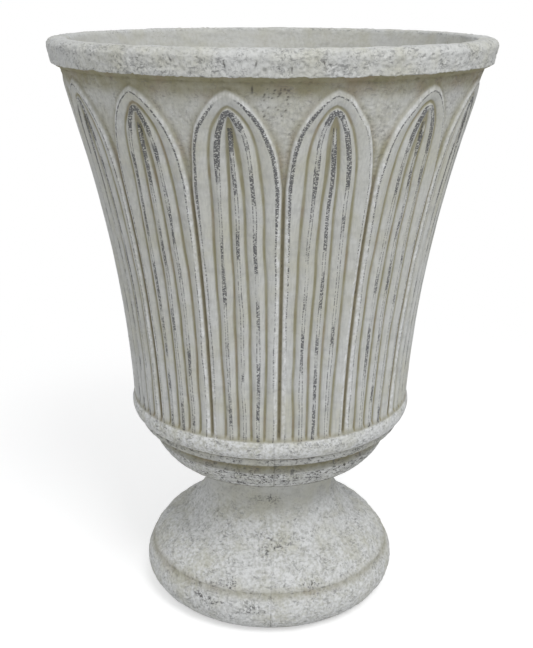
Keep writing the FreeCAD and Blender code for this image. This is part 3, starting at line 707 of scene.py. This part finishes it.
class Shader:
    """A principled material and short ways to add nodes to it."""

    def __init__(self, name, roughness, metallic=0.0):
        self.material = bpy.data.materials.new(name)
        self.material.use_nodes = True
        self.tree = self.material.node_tree
        self.surface = self.tree.nodes["Principled BSDF"]
        self.surface.inputs["Roughness"].default_value = roughness
        self.surface.inputs["Metallic"].default_value = metallic
        self.surface.inputs["Specular IOR Level"].default_value = 0.3
        self.place = self.tree.nodes.new("ShaderNodeTexCoord").outputs["Object"]

    def link(self, value, socket):
        if isinstance(value, bpy.types.NodeSocket):
            self.tree.links.new(value, socket)
        else:
            socket.default_value = value

    def mask(self, name):
        node = self.tree.nodes.new("ShaderNodeAttribute")
        node.attribute_name = name
        return node.outputs["Fac"]

    def noise(self, size, detail=3.0, stretch=(1.0, 1.0, 1.0), distortion=0.0):
        """Noise from 0 to 1 with features about size millimetres across, stretched along the axes."""
        mapping = self.tree.nodes.new("ShaderNodeMapping")
        mapping.inputs["Scale"].default_value = [1.0 / (size * MM * s) for s in stretch]
        self.tree.links.new(self.place, mapping.inputs["Vector"])
        node = self.tree.nodes.new("ShaderNodeTexNoise")
        node.inputs["Scale"].default_value = 1.0
        node.inputs["Detail"].default_value = detail
        node.inputs["Distortion"].default_value = distortion
        self.tree.links.new(mapping.outputs["Vector"], node.inputs["Vector"])
        return node.outputs["Fac"]

    def step(self, value, low, high):
        """0 below low, 1 above high; falling where low is the larger."""
        node = self.tree.nodes.new("ShaderNodeMapRange")
        node.interpolation_type = "SMOOTHSTEP"
        self.link(value, node.inputs["Value"])
        node.inputs["From Min"].default_value = low
        node.inputs["From Max"].default_value = high
        return node.outputs["Result"]

    def calc(self, how, *values):
        node = self.tree.nodes.new("ShaderNodeMath")
        node.operation = how
        for value, socket in zip(values, node.inputs):
            self.link(value, socket)
        return node.outputs["Value"]

    def times(self, *values):
        result = values[0]
        for value in values[1:]:
            result = self.calc("MULTIPLY", result, value)
        return result

    def plus(self, first, second):
        return self.calc("ADD", first, second)

    def mix(self, amount, first, second):
        node = self.tree.nodes.new("ShaderNodeMix")
        node.data_type = "RGBA"
        sockets = [s for s in node.inputs if s.type == "RGBA"]
        self.link(amount, node.inputs["Factor"])
        self.link(first, sockets[0])
        self.link(second, sockets[1])
        return next(s for s in node.outputs if s.type == "RGBA")

    def cover(self, amount, color, paint, most=0.9):
        """A colour under a paint that never hides it altogether."""
        return self.mix(self.calc("MINIMUM", amount, most), color, paint)

    def finish(self, color, roughness=None, height=None, distance=0.3):
        self.link(color, self.surface.inputs["Base Color"])
        if roughness is not None:
            self.link(roughness, self.surface.inputs["Roughness"])
        if height is not None:
            bump = self.tree.nodes.new("ShaderNodeBump")
            bump.inputs["Distance"].default_value = distance * MM
            bump.inputs["Strength"].default_value = 1.0
            self.link(height, bump.inputs["Height"])
            self.tree.links.new(bump.outputs["Normal"], self.surface.inputs["Normal"])
        return self.material


STONE_PALE = linear(202, 203, 201)
STONE_WARM = linear(196, 196, 188)
STONE_GREY = linear(170, 171, 169)
WHITEWASH_AND_HIGHLIGHT = linear(224, 225, 225)
OLIVE_WASH_AND_SHADE = linear(140, 135, 106)
BROWN_WASH_AND_SHADE = linear(140, 129, 104)
YELLOW_WASH = linear(186, 184, 163)
DARK_WEAR = linear(66, 66, 70)
GAP_SHADE_COLOUR = linear(122, 114, 90)
FLECK_GREY = linear(112, 112, 112)
PIT_AND_SHADE_DARK = linear(70, 66, 62)


def stone_ground(s):
    """Pale mottled stone, speckled where it is pitted, with whitewash and yellowish patches; the whitewash
    also paints a highlight on the leaves' outer bevels.
    """
    color = s.mix(s.step(s.noise(55.0, 4.0), 0.38, 0.66), STONE_PALE, STONE_WARM)
    speckled = s.plus(0.08, s.times(s.mask("pitted"), 0.55))
    color = s.mix(s.times(s.step(s.noise(3.0, 5.0), 0.44, 0.70), speckled), color, STONE_GREY)
    clouds = s.step(s.noise(13.0, 4.0, (1.6, 1.6, 0.6)), 0.48, 0.70)
    color = s.mix(s.times(clouds, 0.4), color, STONE_GREY)
    # Whitewash, which on the leaves' outer bevels is a painted highlight.
    rubbed = s.times(s.step(s.noise(3.2, 6.0), 0.30, 0.66), s.plus(0.10, s.times(s.mask("white"), 0.95)))
    color = s.mix(rubbed, color, WHITEWASH_AND_HIGHLIGHT)
    patches = s.step(s.noise(26.0, 6.0), 0.46, 0.70)
    return s.mix(s.times(patches, 0.36), color, YELLOW_WASH)


def brush_streaks(s, color):
    """Upright streaks of the brush on the leaves."""
    brushed = s.step(s.noise(1.7, 4.0, (1.0, 1.0, 16.0)), 0.44, 0.62)
    return s.mix(s.times(brushed, s.step(s.mask("wear"), 0.1, 0.3), 0.32), color, STONE_GREY)


def washes_and_painted_shade(s, color):
    """Olive and brown wash that stays in the grooves and between the leaves, with painted shade below the
    rim, at the leaves' feet and in the mouldings' creases, a darkening towards the rim, and darker painted
    shade in the gaps between the leaves.
    """
    hue = s.mix(s.step(s.noise(24.0, 3.0), 0.48, 0.68), OLIVE_WASH_AND_SHADE, BROWN_WASH_AND_SHADE)
    broken = s.plus(0.45, s.times(s.noise(6.0, 4.0, (1.0, 1.0, 3.0)), 0.9))
    color = s.cover(s.times(s.mask("wash_and_shade"), broken, 0.95), color, hue, 0.92)
    # Stain, and the painted shade towards the rim.
    stained = s.times(s.mask("stain_and_shade"), s.plus(0.25, s.noise(16.0, 5.0, (1.0, 1.0, 1.6))))
    color = s.cover(s.times(stained, 1.1), color, hue)
    # Painted shade in the gaps between the leaves and in the grooves' ends.
    return s.mix(s.times(s.mask("gap_shade"), 0.85), color, GAP_SHADE_COLOUR)


def dry_brush(s, color):
    """Dark dry-brush on the ridges: two thin broken lines, closed up in places by short cross dashes."""
    wear = s.times(s.mask("wear"), 0.13)
    heavy = s.step(s.plus(wear, s.noise(15.0, 4.0, (1.0, 1.0, 2.0))), 0.52, 0.62)
    broad = s.times(heavy, s.step(s.mask("wear"), 0.7, 1.0), 0.32)
    away = s.times(s.mask("ridge"), 10.0, s.calc("SUBTRACT", 1.0, broad))
    line = s.times(s.step(away, 0.7, 1.0), s.step(away, 1.7, 1.35))
    top = s.step(away, 1.35, 0.9)
    fine = s.plus(s.noise(0.95, 3.0, (1.6, 1.6, 1.0)), s.times(wear, 0.3))
    worn = s.step(s.plus(wear, s.noise(28.0, 4.0, (1.0, 1.0, 2.2))), 0.36, 0.50)
    strokes = s.calc("MAXIMUM", s.times(line, worn), s.times(top, heavy))
    strokes = s.times(strokes, s.step(s.plus(fine, s.times(heavy, 0.035)), 0.44, 0.55))
    frayed = s.step(s.plus(wear, s.noise(24.0, 4.0, (1.0, 1.0, 2.6))), 0.44, 0.58)
    edge = s.times(s.step(s.mask("arris"), 0.30, 0.65), frayed, s.step(fine, 0.46, 0.57))
    thin = s.step(s.noise(0.7, 2.0), 0.30, 0.62)
    inked = s.times(s.calc("MAXIMUM", strokes, edge), s.plus(0.62, s.times(thin, 0.3)))
    return s.mix(inked, color, DARK_WEAR)


def flecks_and_holes(s):
    """How strongly each place is part of a fleck, and of a hole, in the rough cast."""
    pitted = s.mask("pitted")
    upright = s.step(s.noise(1.5, 3.0, (1.0, 1.0, 2.4), 1.2), 0.585, 0.65)
    across = s.step(s.noise(1.4, 3.0, (2.2, 2.2, 1.0), 1.2), 0.60, 0.66)
    dabs = s.times(s.step(s.noise(3.0, 2.0, (1.5, 1.5, 0.75), 0.7), 0.595, 0.635), 1.25)
    groups = s.plus(0.3, s.times(s.step(s.noise(12.0, 3.0), 0.42, 0.60), 0.9))
    flecks = s.times(s.calc("MAXIMUM", s.calc("MAXIMUM", upright, across), dabs), groups, pitted)
    deeper = s.times(s.calc("POWER", pitted, 3.0), 0.06)
    spots = s.step(s.plus(s.noise(2.2, 2.0, (1.3, 1.3, 1.0), 0.8), deeper), 0.63, 0.68)
    return flecks, s.times(spots, s.calc("POWER", pitted, 1.6))


def scratches(s, color):
    """Fine bent scratches inside the bowl."""
    bent = s.calc("ABSOLUTE", s.calc("SUBTRACT", s.noise(16.0, 2.0, (2.5, 2.5, 1.0), 1.5), 0.5))
    scratch = s.times(s.step(bent, 0.006, 0.002), s.step(s.noise(30.0, 3.0), 0.52, 0.6), s.mask("inside"))
    return s.mix(s.times(scratch, 0.5), color, OLIVE_WASH_AND_SHADE)


def stone(name):
    """Whitewashed cast stone: washed grooves, dry-brushed ridges, flecks, pits and stains, with painted shade
    in the creases, in the gaps and below the rim, and a painted highlight on the leaves' bevels.
    """
    s = Shader(name, 0.9)
    color = dry_brush(s, washes_and_painted_shade(s, brush_streaks(s, stone_ground(s))))
    flecks, holes = flecks_and_holes(s)
    color = s.cover(s.times(flecks, 1.1), color, FLECK_GREY)
    color = s.cover(s.times(holes, 1.2), color, PIT_AND_SHADE_DARK)
    # Marks, together with the painted shade in the mouldings' creases.
    color = s.mix(s.times(s.mask("mark"), 0.85), color, PIT_AND_SHADE_DARK)
    color = scratches(s, color)
    grain = s.noise(0.8, 3.0)
    bumps = s.times(s.noise(2.6, 4.0), s.plus(0.25, s.times(s.mask("pitted"), 1.8)))
    relief = s.plus(s.calc("SUBTRACT", s.times(grain, 0.5), s.plus(flecks, holes)), bumps)
    return s.finish(color, s.plus(0.82, s.times(grain, 0.16)), relief, 0.45)


def mortar(name):
    """Struck mortar, grey and sandy."""
    s = Shader(name, 0.95)
    color = s.mix(s.step(s.noise(4.0, 4.0), 0.35, 0.65), linear(120, 116, 100), linear(156, 152, 138))
    return s.finish(color, None, s.noise(1.2, 4.0), 0.4)


def zinc(name):
    """Dull galvanised steel with spangle and white bloom."""
    s = Shader(name, 0.45, 0.9)
    spangle = s.step(s.noise(3.5, 2.0, (1.0, 1.0, 1.0), 1.5), 0.35, 0.65)
    color = s.mix(spangle, linear(150, 153, 156), linear(186, 188, 190))
    bloom = s.step(s.noise(9.0, 5.0), 0.58, 0.74)
    color = s.mix(s.times(bloom, 0.7), color, linear(214, 214, 208))
    roughness = s.plus(0.36, s.times(s.noise(6.0, 4.0), 0.3))
    return s.finish(color, roughness, s.noise(0.8, 3.0), 0.08)


def rubber(name):
    """Matt black rubber, a little dusty."""
    s = Shader(name, 0.8)
    color = s.mix(s.step(s.noise(5.0, 5.0), 0.45, 0.7), linear(38, 38, 39), linear(66, 65, 63))
    roughness = s.plus(0.68, s.times(s.noise(3.0, 3.0), 0.24))
    return s.finish(color, roughness, s.noise(0.6, 3.0), 0.12)


def dress(obj, material):
    obj.data.materials.clear()
    obj.data.materials.append(material)


# ================================================================ room, light and camera

FLOOR_SIDE = 12.0
FLOOR_PAINT = (0.72, 0.72, 0.72, 1.0)
FLOOR_LIFT = 0.5
FADE_START, FADE_END = 0.35, 0.9
WHITE = (1.0, 1.0, 1.0, 1.0)
DAYLIGHT, WORLD_LIGHT = (0.98, 0.99, 1.0, 1.0), 0.58
KEY_PLACE, KEY_AIM, KEY_SIDE, KEY_POWER = (0.62, -1.4, 2.25), (0.0, 0.0, 0.3), 0.9, 26.5
FILL_PLACE, FILL_AIM, FILL_SIDE, FILL_POWER = (-0.35, -2.2, 0.2), (0.0, 0.0, 0.2), 1.2, 3.6


def seen_rays(tree):
    """1 where a surface is seen, also in a reflection or through glass, 0 for the light it gives."""
    path = tree.nodes.new("ShaderNodeLightPath")
    total = path.outputs["Is Camera Ray"]
    for name in ("Is Glossy Ray", "Is Transmission Ray"):
        larger = tree.nodes.new("ShaderNodeMath")
        larger.operation = "MAXIMUM"
        tree.links.new(total, larger.inputs[0])
        tree.links.new(path.outputs[name], larger.inputs[1])
        total = larger.outputs["Value"]
    return total


def floor_paint():
    """Pale floor that keeps the shadow near the urn and is plain white further away."""
    s = Shader("floor_paint", 0.9)
    length = s.tree.nodes.new("ShaderNodeVectorMath")
    length.operation = "LENGTH"
    s.tree.links.new(s.place, length.inputs[0])
    seen = seen_rays(s.tree)
    s.link(FLOOR_PAINT, s.surface.inputs["Base Color"])
    s.link(WHITE, s.surface.inputs["Emission Color"])
    s.link(s.times(seen, FLOOR_LIFT), s.surface.inputs["Emission Strength"])
    white = s.tree.nodes.new("ShaderNodeEmission")
    blend = s.tree.nodes.new("ShaderNodeMixShader")
    s.link(s.times(seen, s.step(length.outputs["Value"], FADE_START, FADE_END)), blend.inputs[0])
    s.tree.links.new(s.surface.outputs[0], blend.inputs[1])
    s.tree.links.new(white.outputs[0], blend.inputs[2])
    s.tree.links.new(blend.outputs[0], s.tree.nodes["Material Output"].inputs["Surface"])
    return s.material


def set_floor():
    """A plain pale floor."""
    mesh = bpy.data.meshes.new("floor")
    half = FLOOR_SIDE / 2.0
    corners = [(-half, -half, 0), (half, -half, 0), (half, half, 0), (-half, half, 0)]
    mesh.from_pydata(corners, [], [(0, 1, 2, 3)])
    floor = bpy.data.objects.new("floor", mesh)
    bpy.context.scene.collection.objects.link(floor)
    dress(floor, floor_paint())


def set_room():
    """A white background where it is seen, and soft even light from all sides."""
    world = bpy.data.worlds.new("room")
    bpy.context.scene.world = world
    world.use_nodes = True
    tree = world.node_tree
    seen = tree.nodes["Background"]
    seen.inputs["Color"].default_value = WHITE
    seen.inputs["Strength"].default_value = 1.0
    light = tree.nodes.new("ShaderNodeBackground")
    light.inputs["Color"].default_value = DAYLIGHT
    light.inputs["Strength"].default_value = WORLD_LIGHT
    choice = tree.nodes.new("ShaderNodeMixShader")
    tree.links.new(seen_rays(tree), choice.inputs[0])
    tree.links.new(light.outputs[0], choice.inputs[1])
    tree.links.new(seen.outputs[0], choice.inputs[2])
    tree.links.new(choice.outputs[0], tree.nodes["World Output"].inputs["Surface"])


def put_in_scene(obj, right, up, back, place):
    """Link an object and place it in metres, with its own x, y and z axes along right, up and back."""
    bpy.context.scene.collection.objects.link(obj)
    turn = np.eye(4)
    turn[:3, 0], turn[:3, 1], turn[:3, 2], turn[:3, 3] = right, up, back, place
    obj.matrix_world = Matrix(turn.tolist())


def area_light(name, place, aim, side, power):
    """A square lamp at a place, turned to a point."""
    data = bpy.data.lights.new(name, "AREA")
    data.shape = "SQUARE"
    data.size = side
    data.energy = power
    toward = np.subtract(aim, place)
    toward /= np.linalg.norm(toward)
    right = np.cross(toward, (0.0, 0.0, 1.0))
    right /= np.linalg.norm(right)
    put_in_scene(bpy.data.objects.new(name, data), right, np.cross(right, toward), -toward, place)


def set_lights():
    area_light("key", KEY_PLACE, KEY_AIM, KEY_SIDE, KEY_POWER)
    area_light("fill", FILL_PLACE, FILL_AIM, FILL_SIDE, FILL_POWER)


def set_camera():
    """Camera at the viewing angle of the picture."""
    pitch, yaw, roll = [math.radians(a) for a in (CAMERA_PITCH, CAMERA_YAW, CAMERA_ROLL)]
    ahead = np.array([math.sin(yaw), math.cos(yaw), 0.0])
    level_right = np.array([math.cos(yaw), -math.sin(yaw), 0.0])
    forward = ahead * math.cos(pitch) - np.array([0.0, 0.0, math.sin(pitch)])
    level_up = ahead * math.sin(pitch) + np.array([0.0, 0.0, math.cos(pitch)])
    right = level_right * math.cos(roll) + level_up * math.sin(roll)
    up = level_up * math.cos(roll) - level_right * math.sin(roll)
    data = bpy.data.cameras.new("camera")
    data.sensor_fit = "AUTO"
    data.sensor_width = SENSOR
    data.lens = FOCAL_PIXELS * SENSOR / PICTURE_HEIGHT
    data.shift_x = (PICTURE_WIDTH / 2.0 - AXIS_PIXEL[0]) / PICTURE_HEIGHT
    data.shift_y = (AXIS_PIXEL[1] - PICTURE_HEIGHT / 2.0) / PICTURE_HEIGHT
    camera = bpy.data.objects.new("camera", data)
    put_in_scene(camera, right, up, -forward, np.array(CAMERA_PLACE) * MM)
    bpy.context.scene.camera = camera


# ================================================================ put together

def dress_hardware():
    """Materials of the CAD nodes that are shown as they are."""
    grey, metal, black = mortar("mortar"), zinc("zinc_steel"), rubber("black_rubber")
    finishes = {"bedding_joint": grey, "tie_pipe": metal, "top_nut": metal, "plate_washer": metal,
                "bottom_washer": metal, "bottom_nut": metal, "sealing_washer": black, "foot_pads": black}
    for node, material in finishes.items():
        dress(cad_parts[node], material)


bpy.context.scene.view_settings.view_transform = "Standard"
for piece, finish in ((build_bowl(), "cast_stone_bowl"), (build_pedestal(), "cast_stone_pedestal")):
    bpy.context.scene.collection.objects.link(piece)
    dress(piece, stone(finish))
dress_hardware()
set_floor()
set_room()
set_lights()
set_camera()
